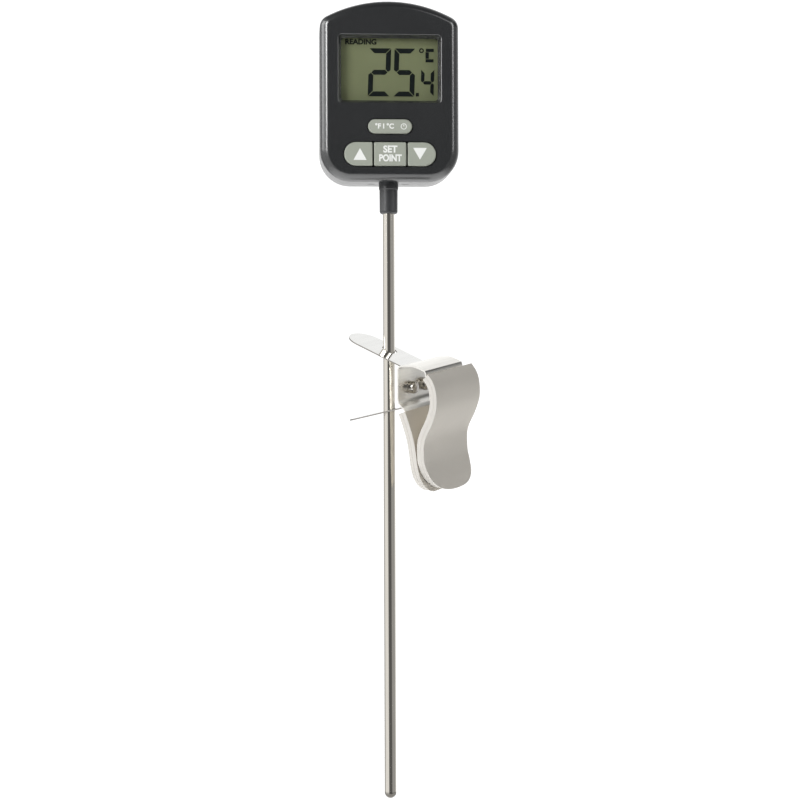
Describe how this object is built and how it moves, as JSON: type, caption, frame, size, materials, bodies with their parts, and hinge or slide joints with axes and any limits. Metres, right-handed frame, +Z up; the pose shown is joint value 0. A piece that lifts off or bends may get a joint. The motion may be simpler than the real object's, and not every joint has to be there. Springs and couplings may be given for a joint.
{
  "type": "darkroom thermometer",
  "caption": "Digital probe thermometer with a display head, press keys, thin steel stem and a sprung tray clip that slides on the stem.",
  "frame": {"origin": "on the flat back of the head, half way up it, on the stem's centre line", "axes": "+Z up the stem from the tip to the head, +Y out of the flat back, -Y out of the display, +X to the right as the display is read"},
  "size_m": [0.0533, 0.0426, 0.2687],
  "materials": {
    "shell": "satin charcoal",
    "collar": "satin charcoal",
    "keys": "matt grey-green",
    "lens": "clear",
    "display": "grey-green display",
    "board": "green lacquer",
    "rubber": "matt",
    "inner": "matt",
    "steel": "fine brushed",
    "spring": "rolled spring strip",
    "jaw": "matt warm grey",
    "pad": "matt light grey",
    "brass": "plain"
  },
  "bodies": {
    "thermometer": {"front_shell": "shell", "rear_shell": "shell", "screw_top_left": "steel", "screw_top_right": "steel", "screw_bottom_left": "steel", "screw_bottom_right": "steel", "window_lens": "lens", "lcd_panel": "display", "display_frame": "inner", "contact_strip": "rubber", "circuit_board": "board", "keypad_membrane": "rubber", "coin_cell": "steel", "cell_holder": "inner", "negative_contact": "brass", "positive_contact": "brass", "stem_tube": "steel", "stem_collar": "collar", "stem_seal": "rubber", "thermistor": "inner", "lead_left": "brass", "lead_right": "brass"},
    "battery_door": {"battery_door": "shell"},
    "unit_key": {"unit_key": "keys"},
    "up_key": {"up_key": "keys"},
    "set_key": {"set_key": "keys"},
    "down_key": {"down_key": "keys"},
    "clip": {"bracket_web": "spring", "spring_back_leg": "spring", "rear_jaw_cover": "jaw", "rear_jaw_pad": "pad", "rivet_near": "steel", "rivet_far": "steel"},
    "front_jaw": {"spring_front_leg": "spring", "front_jaw_cover": "jaw", "front_jaw_pad": "pad"},
    "upper_tongue": {"upper_tongue": "spring"},
    "lower_tongue": {"lower_tongue": "spring"}
  },
  "joints": [
    {"name": "clip_slide", "type": "slide", "parent": "thermometer", "child": "clip", "axis": [0, 0, 1], "range_m": [-0.112, 0.033]},
    {"name": "jaw_open", "type": "hinge", "parent": "clip", "child": "front_jaw", "pos_m": [0.01317, -0.02145, -0.09076], "axis": [-0.6349, -0.7553, -0.1623], "range_deg": [0, 12], "stiffness_Nm_per_rad": 0.4, "springref_deg": -11.46},
    {"name": "upper_squeeze", "type": "hinge", "parent": "clip", "child": "upper_tongue", "pos_m": [0.00813, -0.01698, -0.09187], "axis": [-0.6349, -0.7553, -0.1623], "range_deg": [0, 10], "stiffness_Nm_per_rad": 0.3, "springref_deg": -5.73},
    {"name": "lower_squeeze", "type": "hinge", "parent": "clip", "child": "lower_tongue", "pos_m": [0.00832, -0.01432, -0.105], "axis": [0.6349, 0.7553, 0.1623], "range_deg": [0, 10], "stiffness_Nm_per_rad": 0.3, "springref_deg": -5.73},
    {"name": "unit_key_press", "type": "slide", "parent": "thermometer", "child": "unit_key", "axis": [0, 1, 0], "range_m": [0, 0.0006], "stiffness_N_per_m": 400, "springref_m": -0.0005},
    {"name": "up_key_press", "type": "slide", "parent": "thermometer", "child": "up_key", "axis": [0, 1, 0], "range_m": [0, 0.0006], "stiffness_N_per_m": 400, "springref_m": -0.0005},
    {"name": "set_key_press", "type": "slide", "parent": "thermometer", "child": "set_key", "axis": [0, 1, 0], "range_m": [0, 0.0006], "stiffness_N_per_m": 400, "springref_m": -0.0005},
    {"name": "down_key_press", "type": "slide", "parent": "thermometer", "child": "down_key", "axis": [0, 1, 0], "range_m": [0, 0.0006], "stiffness_N_per_m": 400, "springref_m": -0.0005},
    {"name": "door_twist", "type": "hinge", "parent": "thermometer", "child": "battery_door", "pos_m": [0, 0, 0.0132], "axis": [0, 1, 0], "range_deg": [0, 90]}
  ],
  "couplings": [
    {"joint": "lower_squeeze", "follows": "upper_squeeze", "ratio": 1}
  ]
}
